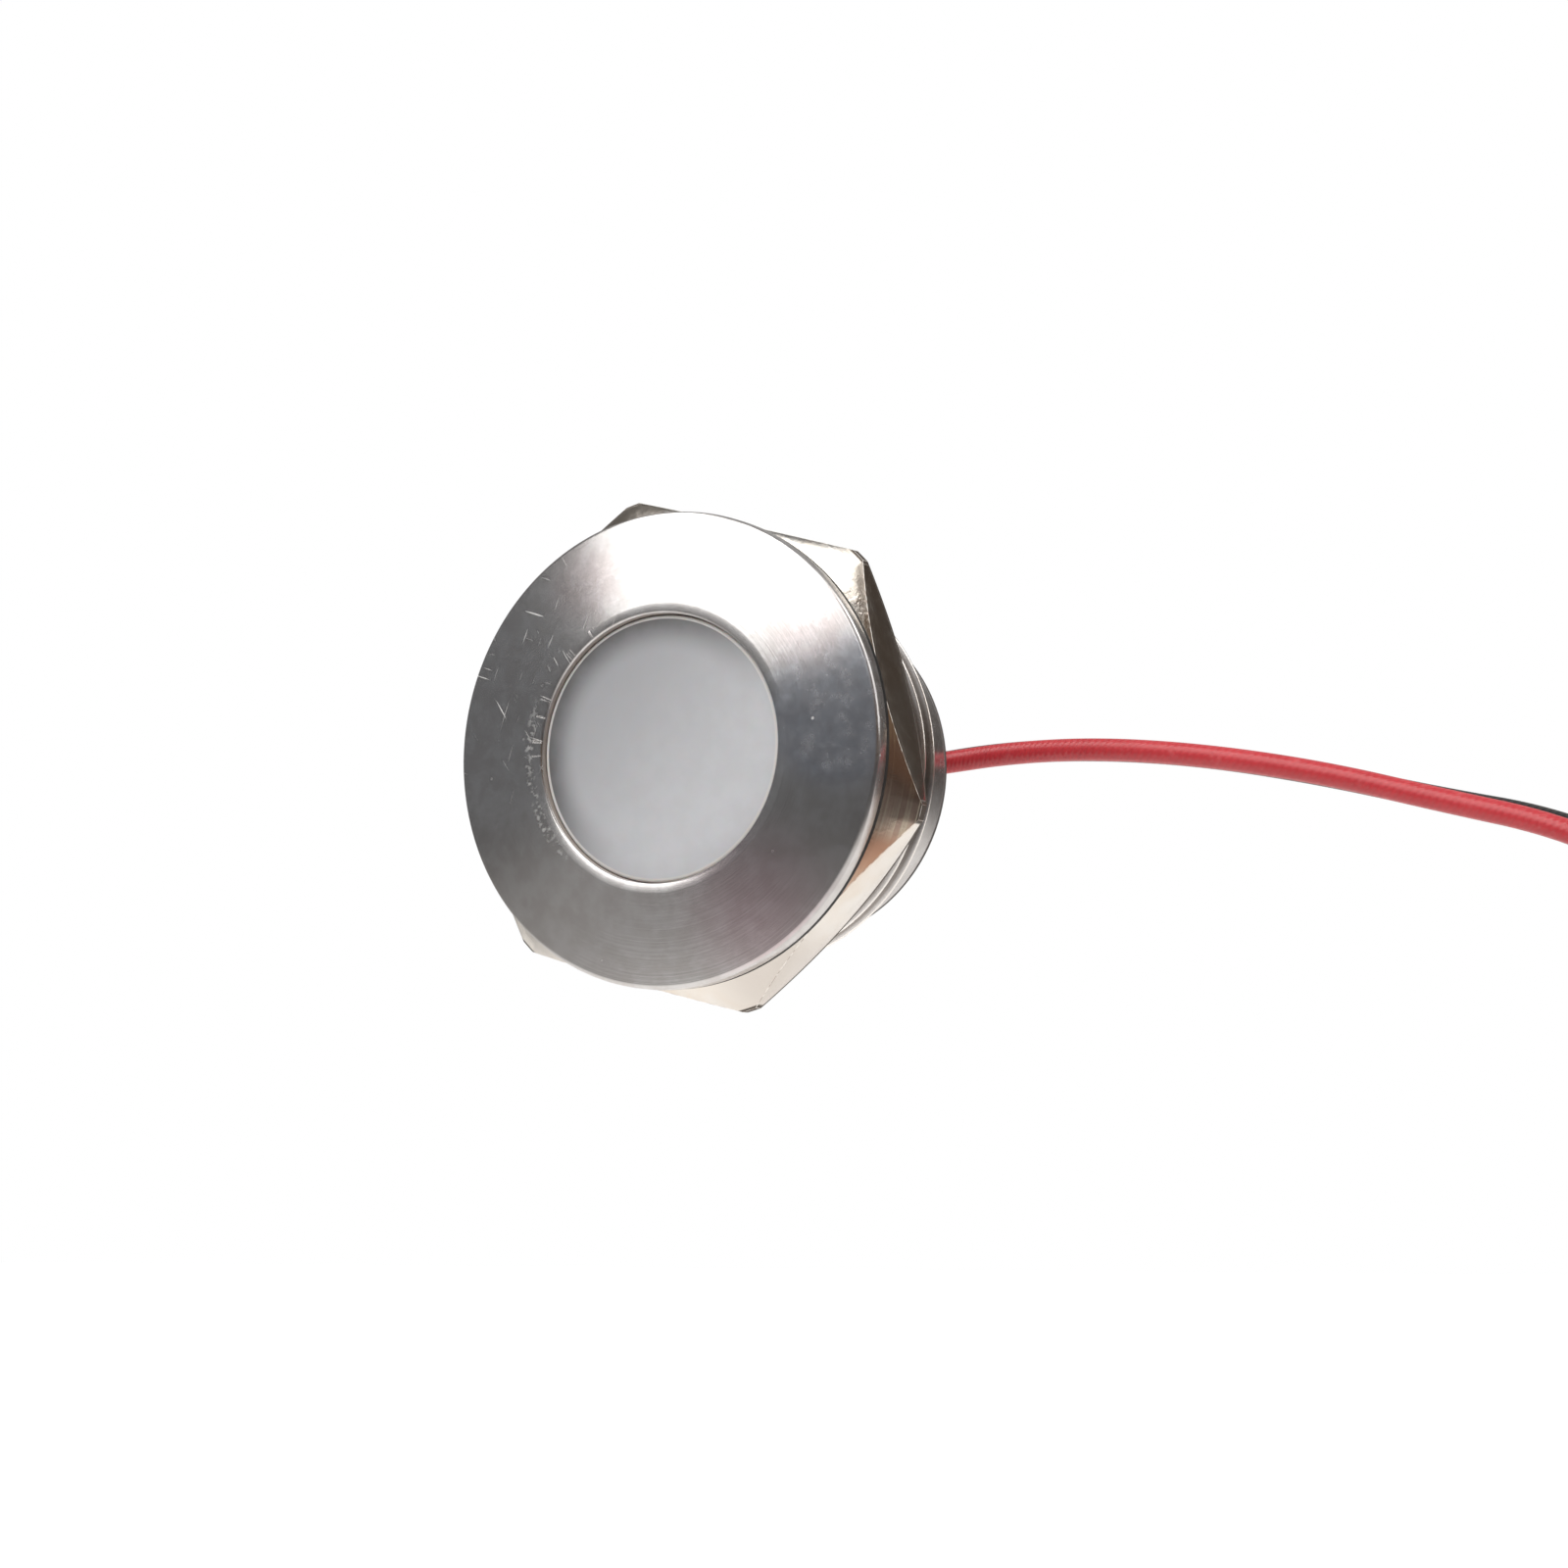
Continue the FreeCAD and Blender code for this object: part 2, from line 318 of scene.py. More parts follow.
def turned(name, section, closed=True):
    """A ring of the section's first point, extruded from point to point (radius, y) and bridged shut."""
    bpy.ops.object.select_all(action="DESELECT")
    bpy.ops.mesh.primitive_circle_add(vertices=round_steps, radius=section[0][0] * mm,
                                      rotation=(math.pi / 2, 0, 0))
    piece = bpy.context.object
    piece.name = name
    bpy.ops.object.transform_apply(location=True, rotation=True, scale=True)
    piece.data.transform(Matrix.Translation((0, section[0][1] * mm, 0)))
    bpy.ops.object.mode_set(mode="EDIT")
    bpy.ops.mesh.select_all(action="SELECT")
    if not closed:
        bpy.ops.mesh.edge_face_add()
    for (r0, y0), (r1, y1) in zip(section, section[1:]):
        bpy.ops.mesh.extrude_region_move(TRANSFORM_OT_translate={"value": (0, (y1 - y0) * mm, 0)})
        bpy.ops.transform.resize(value=(r1 / r0, 1, r1 / r0), center_override=(0, y1 * mm, 0))
    if closed:
        select_ring(piece, [section[0], section[-1]])
        bpy.ops.mesh.bridge_edge_loops()
    bpy.ops.mesh.select_all(action="SELECT")
    bpy.ops.mesh.normals_make_consistent(inside=False)
    bpy.ops.object.mode_set(mode="OBJECT")
    return piece


def round_rings(piece, rings, width, segments):
    """Rounds the edges on these rings, as a file or a radius tool does."""
    bpy.context.view_layer.objects.active = piece
    bpy.ops.object.mode_set(mode="EDIT")
    bpy.ops.mesh.select_mode(type="EDGE")
    select_ring(piece, rings)
    bpy.ops.mesh.bevel(offset=width * mm, segments=segments, affect="EDGES")
    bpy.ops.mesh.select_mode(type="VERT")
    bpy.ops.object.mode_set(mode="OBJECT")


housing = turned("housing_shell", [
    (window_r, land_y),
    (land_r, land_y),
    (head_r, rim_front_y),
    (head_r, bezel_back_y),
    (thread_root_r, bezel_back_y),
    (thread_root_r, thread_length),
    (neck_r, thread_length),
    (neck_r, body_length),
    (bore_r, body_length),
    (bore_r, lip_back_y),
    (window_r, lip_back_y),
])
for ring, width, segments in (
    ((window_r, land_y), 0.22, 3),
    ((land_r, land_y), 0.05, 2),
    ((head_r, rim_front_y), 0.32, 5),
    ((head_r, bezel_back_y), 0.12, 3),
    ((neck_r, body_length), 0.35, 3),
    ((bore_r, body_length), 0.15, 2),
):
    round_rings(housing, [ring], width, segments)
bpy.ops.object.shade_smooth_by_angle(angle=math.radians(35))

# The thread on the barrel: a ridge that winds round it once every 1.5 mm, cut back at 45 degrees
# where the barrel steps down to the neck.
thread_start_y = -0.05
thread_turns = 9.5
thread_steps = 120
thread_lead_in = 0.4
thread_end_y = thread_length - 0.02
ridge_foot_r = thread_root_r - 0.06
ridge = bpy.data.meshes.new("barrel_thread")
ridge_section = [(-0.05, -0.6), (0.8, -0.16), (0.88, -0.11), (0.92, -0.04), (0.92, 0.04), (0.88, 0.11),
                 (0.8, 0.16), (-0.05, 0.6)]
ridge.from_pydata([(0, (thread_start_y + y) * mm, (thread_root_r + r) * mm) for r, y in ridge_section],
                  [(k, (k + 1) % len(ridge_section)) for k in range(len(ridge_section))], [])
thread = bpy.data.objects.new("barrel_thread", ridge)
bpy.context.scene.collection.objects.link(thread)
bpy.ops.object.select_all(action="DESELECT")
thread.select_set(True)
bpy.context.view_layer.objects.active = thread
winding = thread.modifiers.new("winding", "SCREW")
winding.axis = "Y"
winding.angle = 2 * math.pi * thread_turns
winding.screw_offset = thread_pitch * thread_turns * mm
winding.steps = winding.render_steps = int(thread_steps * thread_turns)
winding.use_merge_vertices = False
bpy.ops.object.modifier_apply(modifier="winding")
bpy.ops.object.mode_set(mode="EDIT")
bpy.ops.mesh.select_all(action="SELECT")
bpy.ops.mesh.fill_holes(sides=0)
bpy.ops.mesh.select_all(action="SELECT")
bpy.ops.mesh.normals_make_consistent(inside=False)
bpy.ops.object.mode_set(mode="OBJECT")
for vertex in thread.data.vertices:
    r = math.hypot(vertex.co.x, vertex.co.z)
    y = vertex.co.y / mm
    limit = min(thread_r, thread_root_r + (thread_end_y - y), thread_root_r + (y + thread_lead_in)) * mm
    limit = max(limit, ridge_foot_r * mm)
    if r > limit:
        vertex.co.x *= limit / r
        vertex.co.z *= limit / r
    vertex.co.y = min(vertex.co.y, thread_end_y * mm)
bpy.ops.object.shade_smooth_by_angle(angle=math.radians(40))

# Shared by the turned pieces: the lathe's marks, which run round the axis.
turning_marks, given, wanted = new_group(
    "turning_marks", {"Vector": "Vector", "Per Metre": "Float"}, ["Marks", "Radius", "Angle"])
apart = add_node(turning_marks, "SeparateXYZ", {0: given["Vector"]})
flat = add_node(turning_marks, "VectorMath", {0: given["Vector"], 1: (1, 0, 1)}, operation="MULTIPLY")
from_axis = add_node(turning_marks, "VectorMath", {0: flat.outputs["Vector"]}, operation="LENGTH")
angle = reckon(turning_marks, "ARCTAN2", apart.outputs["Z"], apart.outputs["X"])
along_tool = reckon(turning_marks, "ADD", from_axis.outputs["Value"], apart.outputs["Y"])
marks = add_node(turning_marks, "TexNoise", {"W": along_tool, "Scale": given["Per Metre"], "Detail": 4,
                                             "Roughness": 0.7}, noise_dimensions="1D")
feed(turning_marks, wanted["Marks"], marks.outputs["Fac"])
feed(turning_marks, wanted["Radius"], from_axis.outputs["Value"])
feed(turning_marks, wanted["Angle"], angle)

# Shared by all the plated pieces: cloudy smudges, white specks and fine scratches from handling.
handling, given, wanted = new_group(
    "handling_marks", {"Vector": "Vector"}, ["Smudges", "Specks", "Scratches"])
here = given["Vector"]
smudges = fade(handling, noise(handling, here, 900, 6, Roughness=0.65), 0.35, 0.8)
feed(handling, wanted["Smudges"], smudges)
cells = add_node(handling, "TexVoronoi", {"Vector": here, "Scale": 620})
chosen = add_node(handling, "SeparateXYZ", {0: cells.outputs["Color"]})
dots = fade(handling, cells.outputs["Distance"], 0.085, 0.04)
rare = fade(handling, chosen.outputs["X"], 0.72, 0.74)
feed(handling, wanted["Specks"], reckon(handling, "MULTIPLY", dots, rare))
scratches = []
for turn, spacing in ((0.6, 5200), (-0.35, 6400), (1.25, 5800)):
    turned_place = add_node(handling, "VectorRotate", {"Vector": here, "Angle": turn}, rotation_type="Y_AXIS")
    drawn = add_node(handling, "VectorMath", {0: turned_place.outputs[0], 1: (spacing, 60, 330)},
                     operation="MULTIPLY")
    scratches.append(fade(handling, noise(handling, drawn.outputs["Vector"], 1.0, 0), 0.795, 0.86))
both = reckon(handling, "MAXIMUM", scratches[0], scratches[1])
feed(handling, wanted["Scratches"], reckon(handling, "MAXIMUM", both, scratches[2]))


def near(tree, at, x, z, inner, outer):
    """1 within the inner distance of the line through (x, z) along Y, 0 outside the outer one."""
    flat = add_node(tree, "VectorMath", {0: at, 1: (1, 0, 1)}, operation="MULTIPLY")
    away = add_node(tree, "VectorMath", {0: flat.outputs["Vector"], 1: (x * mm, 0, z * mm)},
                    operation="DISTANCE")
    return fade(tree, away.outputs["Value"], outer * mm, inner * mm)


def band(tree, value, starts, full_from, full_to, ends):
    """1 between the two middle values and 0 outside the outer ones, given in millimetres."""
    return reckon(tree, "MULTIPLY", fade(tree, value, starts * mm, full_from * mm),
                  fade(tree, value, ends * mm, full_to * mm))


# The plating's colours, some of them painted reflection, shade and highlight; then the places of marks on the
# face, as x, z, and the distances where a mark is full and where it ends; then bands of radii or of depths
# behind the panel, as band takes them.
nickel = (0.62, 0.61, 0.6)
mauve_reflection = (0.6, 0.5, 0.52)
blue_tint = (0.565, 0.585, 0.625)
warm_reflection = (0.67, 0.62, 0.615)
pale_smudge = (0.68, 0.69, 0.73)
rubbed_white = (0.85, 0.85, 0.84)
furrow_shade = (0.3, 0.275, 0.26)
crest_highlight = (0.92, 0.89, 0.86)
dark_rear_band = (0.12, 0.11, 0.105)
wall_reflection_brown = (0.42, 0.37, 0.34)
mauve_reflection_place = (8, -11.5, 1, 8)
smudged_place = (14.5, 2, 2.5, 8)
scratched_place = (-12, 6, 3, 11)
warm_reflection_right_place = (12.2, 8, 1, 4.5)
warm_reflection_top_place = (-6.5, 12.5, 1, 4.5)
rubbed_place = (-11, -2, 3, 8)
nicked_place = (-10, 4, 3, 8)
rubbed_radii = (10.5, 10.7, 11.1, 11.5)
land_radii = (9.9, 10.1, 10.55, 10.75)
furrow_radii = (14.0, 14.05, 14.6, 14.86)
threaded_depths = (0, 0.5, 12.75, 12.95)
dark_rear_depths = (18.3, 18.5, 18.84, 18.9)

plated, tree, shader, at = new_material("turned_nickel", nickel, 0.3, 1.0)
shader.inputs["Anisotropic"].default_value = 0.8
shader.inputs["Anisotropic Rotation"].default_value = 0.25
grooves_way = add_node(tree, "Tangent", {}, direction_type="RADIAL", axis="Y")
feed(tree, shader.inputs["Tangent"], grooves_way.outputs["Tangent"])
lathe = use_group(tree, turning_marks, {"Vector": at, "Per Metre": 4200})
worn = use_group(tree, handling, {"Vector": at})
depth = add_node(tree, "SeparateXYZ", {0: at}).outputs["Y"]
on_face = fade(tree, depth, -1.6 * mm, -1.8 * mm)

# Tints on the face: a painted mauve reflection below the window, blue on the right, and a painted warm
# reflection where the bright fan ends.
mauve_reflected = reckon(tree, "MULTIPLY", near(tree, at, *mauve_reflection_place), on_face)
face_colour = tint(tree, mauve_reflected, nickel, mauve_reflection)
right_side = near(tree, at, *smudged_place)
blued = reckon(tree, "MULTIPLY", fade(tree, right_side, 0.1, 0.8), on_face)
face_colour = tint(tree, blued, face_colour, blue_tint)
warm_reflected = reckon(tree, "MAXIMUM", near(tree, at, *warm_reflection_right_place), near(tree, at, *warm_reflection_top_place))
face_colour = tint(tree, reckon(tree, "MULTIPLY", warm_reflected, on_face), face_colour, warm_reflection)

# Marks of handling: smudges and specks mostly on the right, scratches and a rubbed ring on the left.
smudged = reckon(tree, "MULTIPLY", worn["Smudges"], fade(tree, right_side, 0, 1, 0.1, 0.65))
scratched = reckon(tree, "MULTIPLY", worn["Scratches"], near(tree, at, *scratched_place))
dotted = reckon(tree, "MULTIPLY", worn["Specks"], fade(tree, right_side, 0, 1, 0.3, 1.0))
rubbed_ring = reckon(tree, "MULTIPLY", band(tree, lathe["Radius"], *rubbed_radii),
                     near(tree, at, *rubbed_place))
rubbed = reckon(tree, "MULTIPLY", fade(tree, noise(tree, at, 2800, 3), 0.5, 0.66, 0.0, 0.55), rubbed_ring)
marked = reckon(tree, "MAXIMUM", reckon(tree, "MAXIMUM", dotted, rubbed), scratched)
smudged_colour = tint(tree, smudged, face_colour, pale_smudge)
mottled = fade(tree, noise(tree, at, 700, 6, Roughness=0.7), 0.4, 0.62)
cloudy = tint(tree, mottled, (0.93, 0.915, 0.915), (1.03, 1.03, 1.04))
clouded = add_node(tree, "VectorMath", {0: smudged_colour, 1: cloudy}, operation="MULTIPLY")
worn_colour = tint(tree, marked, clouded.outputs["Vector"], rubbed_white)

# The barrel and the window's wall: painted shade in the thread's furrows, a painted highlight on its crests,
# a dull dark band round the back of the neck, and on the window's wall a dull brown that is a painted
# reflection of the lens.
on_thread = band(tree, depth, *threaded_depths)
shaded_furrows = reckon(tree, "MULTIPLY", band(tree, lathe["Radius"], *furrow_radii), on_thread)
highlighted_crest = reckon(tree, "MULTIPLY", fade(tree, lathe["Radius"], 14.87 * mm, 14.9 * mm), on_thread)
barrel_colour = tint(tree, highlighted_crest, tint(tree, shaded_furrows, worn_colour, furrow_shade), crest_highlight)
in_window = reckon(tree, "MULTIPLY", fade(tree, lathe["Radius"], 9.93 * mm, 9.87 * mm),
                   fade(tree, depth, -2.76 * mm, -2.66 * mm))
dull_band_and_wall = reckon(tree, "MAXIMUM", band(tree, depth, *dark_rear_depths), in_window)
edge_colour = tint(tree, in_window, dark_rear_band, wall_reflection_brown)
feed(tree, shader.inputs["Base Color"], tint(tree, dull_band_and_wall, barrel_colour, edge_colour))
smudged_rough = reckon(tree, "MULTIPLY_ADD", smudged, 0.06, 0.25)
marked_rough = reckon(tree, "MULTIPLY_ADD", marked, 0.25, smudged_rough)
feed(tree, shader.inputs["Roughness"], reckon(tree, "MULTIPLY_ADD", dull_band_and_wall, 0.45, marked_rough))
smudged_metal = reckon(tree, "MULTIPLY_ADD", smudged, -0.16, 1.0)
marked_metal = reckon(tree, "MULTIPLY_ADD", marked, -0.55, smudged_metal)
feed(tree, shader.inputs["Metallic"], reckon(tree, "SUBTRACT", marked_metal, dull_band_and_wall))

# Relief: the lathe's furrows, nicks in the land at the left, and the scratches.
nick_noise = add_node(tree, "TexNoise", {"W": lathe["Angle"], "Scale": 9, "Detail": 6, "Roughness": 0.75},
                      noise_dimensions="1D")
left_land = reckon(tree, "MULTIPLY", band(tree, lathe["Radius"], *land_radii), near(tree, at, *nicked_place))
nicked = reckon(tree, "MULTIPLY", fade(tree, nick_noise.outputs["Fac"], 0.6, 0.66), left_land)
on_bezel = fade(tree, depth, 0, -0.4 * mm, 0.15, 1.0)
furrows = relief(tree, reckon(tree, "MULTIPLY", lathe["Marks"], on_bezel), 0.006)
cut = relief(tree, reckon(tree, "MULTIPLY", nicked, -1), 0.05, under=furrows)
feed(tree, shader.inputs["Normal"], relief(tree, scratched, 0.01, 0.6, under=cut))

for piece in (housing, thread):
    piece.data.materials.append(plated)
    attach(piece, "housing")
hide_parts("bezel_housing")


# Hexagon nut, 34.5 mm across its flats, sawn from brass bar and nickel plated. Both faces are
# chamfered and its corners turned back, and the plating is thin and brown where it has been handled.
nut_flat_r = 17.25
nut_front_y = 0.05
nut_back_y = 4.65
nut_turned = math.radians(14.7)
nut_corner_cut = 0.32
nut_face_r = 17.15
nut_bore_r = 15.0
nut_bore_bevel = 0.25
nut_saw_allowance = 2
nut_edge_width = 0.1
nut_sharp_r = nut_flat_r / math.cos(math.radians(30))
nut_corner_r = nut_sharp_r - nut_corner_cut
nut_slope = math.tan(math.radians(38))
nut_chamfer = (nut_corner_r - nut_face_r) * nut_slope

bpy.ops.object.select_all(action="DESELECT")
bpy.ops.mesh.primitive_cylinder_add(vertices=6, radius=nut_sharp_r * mm,
                                    depth=(nut_back_y - nut_front_y + nut_saw_allowance) * mm,
                                    location=(0, (nut_back_y + nut_front_y) / 2 * mm, 0),
                                    rotation=(math.pi / 2, 0, 0))
nut = bpy.context.object
nut.name = "nut_hexagon"
bpy.ops.object.transform_apply(location=True, rotation=True, scale=True)
first_corner = nut.data.vertices[0].co
corner_now = math.atan2(first_corner.z, first_corner.x)
nut.data.transform(Matrix.Rotation(-(nut_turned + math.radians(30) - corner_now), 4, "Y"))

lathe_form = turned("nut_lathe_form", [
    (nut_bore_r, nut_front_y + nut_bore_bevel),
    (nut_bore_r + nut_bore_bevel, nut_front_y),
    (nut_face_r, nut_front_y),
    (nut_corner_r, nut_front_y + nut_chamfer),
    (nut_corner_r, nut_back_y - nut_chamfer),
    (nut_face_r, nut_back_y),
    (nut_bore_r + nut_bore_bevel, nut_back_y),
    (nut_bore_r, nut_back_y - nut_bore_bevel),
])
bpy.ops.object.select_all(action="DESELECT")
nut.select_set(True)
bpy.context.view_layer.objects.active = nut
facing = nut.modifiers.new("facing", "BOOLEAN")
facing.operation = "INTERSECT"
facing.solver = "EXACT"
facing.object = lathe_form
bpy.ops.object.modifier_apply(modifier="facing")
bpy.data.objects.remove(lathe_form)

# The nut's colours, and the places of its marks as on the bezel.
light_nickel = (0.75, 0.72, 0.68)
warm_nickel = (0.72, 0.66, 0.59)
handled_brown = (0.6, 0.45, 0.37)
rubbed_streak = (0.8, 0.69, 0.55)
red_brass = (0.5, 0.29, 0.2)
grey_nickel = (0.6, 0.56, 0.52)
pale_speck = (0.85, 0.83, 0.8)
corner_grime = (0.11, 0.09, 0.075)
brown_place = (18.5, -4.5, 4, 11)
red_place = (15.5, -10.0, 2.5, 4.5)
grey_place = (7.3, -16.2, 1.5, 6)
pitted_place = (16.5, 8.5, 2.5, 6)
rear_edge_inset = (0.01, 0.05, 0.22, 0.36)
nut_nickel, tree, shader, at = new_material("nut_nickel", (0.74, 0.7, 0.64), 0.2, 1.0)
lathe = use_group(tree, turning_marks, {"Vector": at, "Per Metre": 1700})
worn = use_group(tree, handling, {"Vector": at})
height = add_node(tree, "SeparateXYZ", {0: at}).outputs["Y"]

# Brown streaks on the front chamfer, where fingers turned it; the chamfer is found as a cone.
blotch = noise(tree, at, 240, 5, Distortion=0.5)
nut_colour = tint(tree, fade(tree, blotch, 0.4, 0.65), light_nickel, warm_nickel)
cone_r = reckon(tree, "MULTIPLY_ADD", height, 1 / nut_slope, (nut_face_r - nut_front_y / nut_slope) * mm)
off_cone = reckon(tree, "ABSOLUTE", reckon(tree, "SUBTRACT", lathe["Radius"], cone_r))
chamfered = fade(tree, off_cone, 0.16 * mm, 0.06 * mm)
browned = reckon(tree, "MULTIPLY", near(tree, at, *brown_place), chamfered)
reddened = reckon(tree, "MULTIPLY", near(tree, at, *red_place), browned)
streak_noise = add_node(tree, "TexNoise", {"W": lathe["Angle"], "Scale": 3, "Detail": 2},
                        noise_dimensions="1D")
streaks = fade(tree, reckon(tree, "ADD", lathe["Marks"], streak_noise.outputs["Fac"]), 0.85, 1.15)
nut_colour = tint(tree, browned, nut_colour, handled_brown)
nut_colour = tint(tree, reckon(tree, "MULTIPLY", streaks, browned), nut_colour, rubbed_streak)
nut_colour = tint(tree, reddened, nut_colour, red_brass)
nut_colour = tint(tree, near(tree, at, *grey_place), nut_colour, grey_nickel)
nut_colour = tint(tree, worn["Specks"], nut_colour, pale_speck)

# Grime along the rear chamfer's edge and at the corners, which is dull and doesn't mirror.
rear_cone_r = reckon(tree, "MULTIPLY_ADD", height, -1 / nut_slope,
                     (nut_face_r + nut_back_y / nut_slope) * mm)
rear_edge = band(tree, reckon(tree, "SUBTRACT", rear_cone_r, lathe["Radius"]), *rear_edge_inset)
on_corner = fade(tree, lathe["Radius"], 19.4 * mm, 19.5 * mm)
grimy = reckon(tree, "MAXIMUM", rear_edge, on_corner)
feed(tree, shader.inputs["Base Color"], tint(tree, grimy, nut_colour, corner_grime))
smudged_rough = reckon(tree, "MULTIPLY_ADD", worn["Smudges"], 0.1, 0.16)
feed(tree, shader.inputs["Roughness"], reckon(tree, "MULTIPLY_ADD", grimy, 0.4, smudged_rough))
feed(tree, shader.inputs["Metallic"], reckon(tree, "MULTIPLY_ADD", grimy, -0.7, 1.0))
pits = fade(tree, noise(tree, at, 1500, 4), 0.5, 0.7)
pits_share = fade(tree, near(tree, at, *pitted_place), 0, 1, 0.3, 1.0)
pitted = relief(tree, reckon(tree, "MULTIPLY", pits, pits_share), 0.009)
feed(tree, shader.inputs["Normal"], relief(tree, lathe["Marks"], 0.005, under=pitted))

# Its edges carry a thin bright line, broken by dents, which is worn plating and also a painted highlight. At
# the top, where the nut is filed, the line is bright but dull, and along the back it is grimy.
edge_highlight_and_wear, tree, shader, at = new_material("nut_edge_highlight_and_wear", (0.9, 0.86, 0.8), 0.35, 1.0)
dents = fade(tree, noise(tree, at, 1700, 3), 0.42, 0.55)
sides = add_node(tree, "SeparateXYZ", {0: at})
filed = fade(tree, sides.outputs["Z"], 11 * mm, 13 * mm)
edge_line = tint(tree, reckon(tree, "MAXIMUM", dents, filed), (0.4, 0.34, 0.3), (0.95, 0.92, 0.87))
grimy = fade(tree, sides.outputs["Y"], 2.6 * mm, 3.2 * mm)
feed(tree, shader.inputs["Base Color"], tint(tree, grimy, edge_line, (0.12, 0.1, 0.085)))
feed(tree, shader.inputs["Roughness"], reckon(tree, "MULTIPLY_ADD", grimy, 0.35, 0.35))
dull = reckon(tree, "MAXIMUM", reckon(tree, "MULTIPLY", filed, 0.8), reckon(tree, "MULTIPLY", grimy, 0.9))
feed(tree, shader.inputs["Metallic"], reckon(tree, "SUBTRACT", 1.0, dull))
feed(tree, shader.inputs["Normal"], relief(tree, noise(tree, at, 2600, 3), 0.02))

nut.data.materials.clear()
nut.data.materials.append(nut_nickel)
nut.data.materials.append(edge_highlight_and_wear)
edges = nut.modifiers.new("edges", "BEVEL")
edges.width = nut_edge_width * mm
edges.segments = 2
edges.limit_method = "ANGLE"
edges.angle_limit = math.radians(22)
edges.material = 1
bpy.ops.object.modifier_apply(modifier="edges")
bpy.ops.object.shade_smooth_by_angle(angle=math.radians(25))
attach(nut, "nut")
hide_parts("hex_nut")


# Panel gasket: a thin ring punched from black rubber sheet. It lies loose on the barrel, against the back
# of the bezel, and is pressed on the panel by the nut.
gasket_outer_r = 17.45
gasket_inner_r = 15.2
gasket = turned("gasket_ring", [
    (gasket_inner_r, bezel_back_y),
    (gasket_outer_r, bezel_back_y),
    (gasket_outer_r, 0),
    (gasket_inner_r, 0),
])
round_rings(gasket, [(gasket_outer_r, bezel_back_y), (gasket_outer_r, 0)], 0.06, 2)
bpy.ops.object.shade_smooth_by_angle(angle=math.radians(35))
rubber, tree, shader, at = new_material("gasket_rubber", (0.02, 0.02, 0.02), 0.6)
dust = fade(tree, noise(tree, at, 1200, 4), 0.6, 0.75, 0.0, 0.5)
feed(tree, shader.inputs["Base Color"], tint(tree, dust, (0.018, 0.018, 0.018), (0.07, 0.068, 0.065)))
feed(tree, shader.inputs["Normal"], relief(tree, noise(tree, at, 2500), 0.008))
gasket.data.materials.append(rubber)
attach(gasket, "gasket")
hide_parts("panel_gasket")


# Lens: milky polycarbonate, moulded with a rounded front edge and a flange that sits behind the lip. Its
# colour holds painted light and shade: lighter towards the lower right, a painted shade at its edge that is
# strongest at the upper left, and a painted highlight on the rounded rim.
lens_front_y = -2.42
lens_r = 9.79
lens_flange_r = 11.3
lens_flange_front_y = -0.47
lens_back_y = 1.03
lens_middle_r = 0.4
lens = turned("milky_window", [
    (lens_middle_r, lens_front_y - 0.02),
    (4.0, lens_front_y - 0.016),
    (7.0, lens_front_y - 0.008),
    (lens_r, lens_front_y),
    (lens_r, lens_front_y + 1.9),
    (lens_r, lens_flange_front_y),
    (lens_flange_r, lens_flange_front_y),
    (lens_flange_r, lens_back_y),
    (lens_middle_r, lens_back_y),
], closed=False)
bpy.context.view_layer.objects.active = lens
bpy.ops.object.mode_set(mode="EDIT")
select_ring(lens, [(lens_middle_r, lens_back_y)])
bpy.ops.mesh.edge_face_add()
bpy.ops.mesh.select_all(action="SELECT")
bpy.ops.mesh.normals_make_consistent(inside=False)
bpy.ops.object.mode_set(mode="OBJECT")
round_rings(lens, [(lens_r, lens_front_y)], 0.2, 4)
bpy.ops.object.shade_smooth_by_angle(angle=math.radians(35))
milky, tree, shader, at = new_material("milky_lens", (0.6, 0.6, 0.61), 0.38)
shader.inputs["Subsurface Weight"].default_value = 0.15
shader.inputs["Subsurface Scale"].default_value = 0.8 * mm
lathe = use_group(tree, turning_marks, {"Vector": at})
# Painted light and shade: the milk is lighter towards the lower right and darker towards the upper left.
across = add_node(tree, "VectorMath", {0: at, 1: (0.72 / (9.7 * mm), 0, -0.69 / (9.7 * mm))},
                  operation="DOT_PRODUCT")
painted_light_slant = fade(tree, across.outputs["Value"], -1.1, 0.9)
milk = tint(tree, painted_light_slant, (0.405, 0.415, 0.44), (0.655, 0.67, 0.705))
shaded_side = fade(tree, across.outputs["Value"], 0.5, -0.7)
shaded_edge = fade(tree, lathe["Radius"], 7.0 * mm, 9.6 * mm)
shade = reckon(tree, "MULTIPLY", shaded_side, shaded_edge)
milk = tint(tree, shade, milk, (0.13, 0.13, 0.135))
# A painted highlight on the rounded rim.
rim_highlight = fade(tree, lathe["Radius"], 9.46 * mm, 9.54 * mm)
milk = tint(tree, rim_highlight, milk, (0.75, 0.74, 0.73))
cloud = fade(tree, noise(tree, at, 700, 4), 0.3, 0.7, 0.0, 0.12)
feed(tree, shader.inputs["Base Color"], tint(tree, cloud, milk, (0.4, 0.4, 0.42)))
feed(tree, shader.inputs["Normal"], relief(tree, noise(tree, at, 160), 0.003))
lens.data.materials.append(milky)
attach(lens, "housing")
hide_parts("lens")


# Rear plug: black glass-filled nylon, moulded with a fine spark-eroded grain. It closes the barrel and has
# a hole for each lead.


def dress(nodes, finish):
    """Gives these solids, which keep their own shape, a finish."""
    for node in nodes:
        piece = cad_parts[node]
        piece.data.materials.clear()
        piece.data.materials.append(finish)


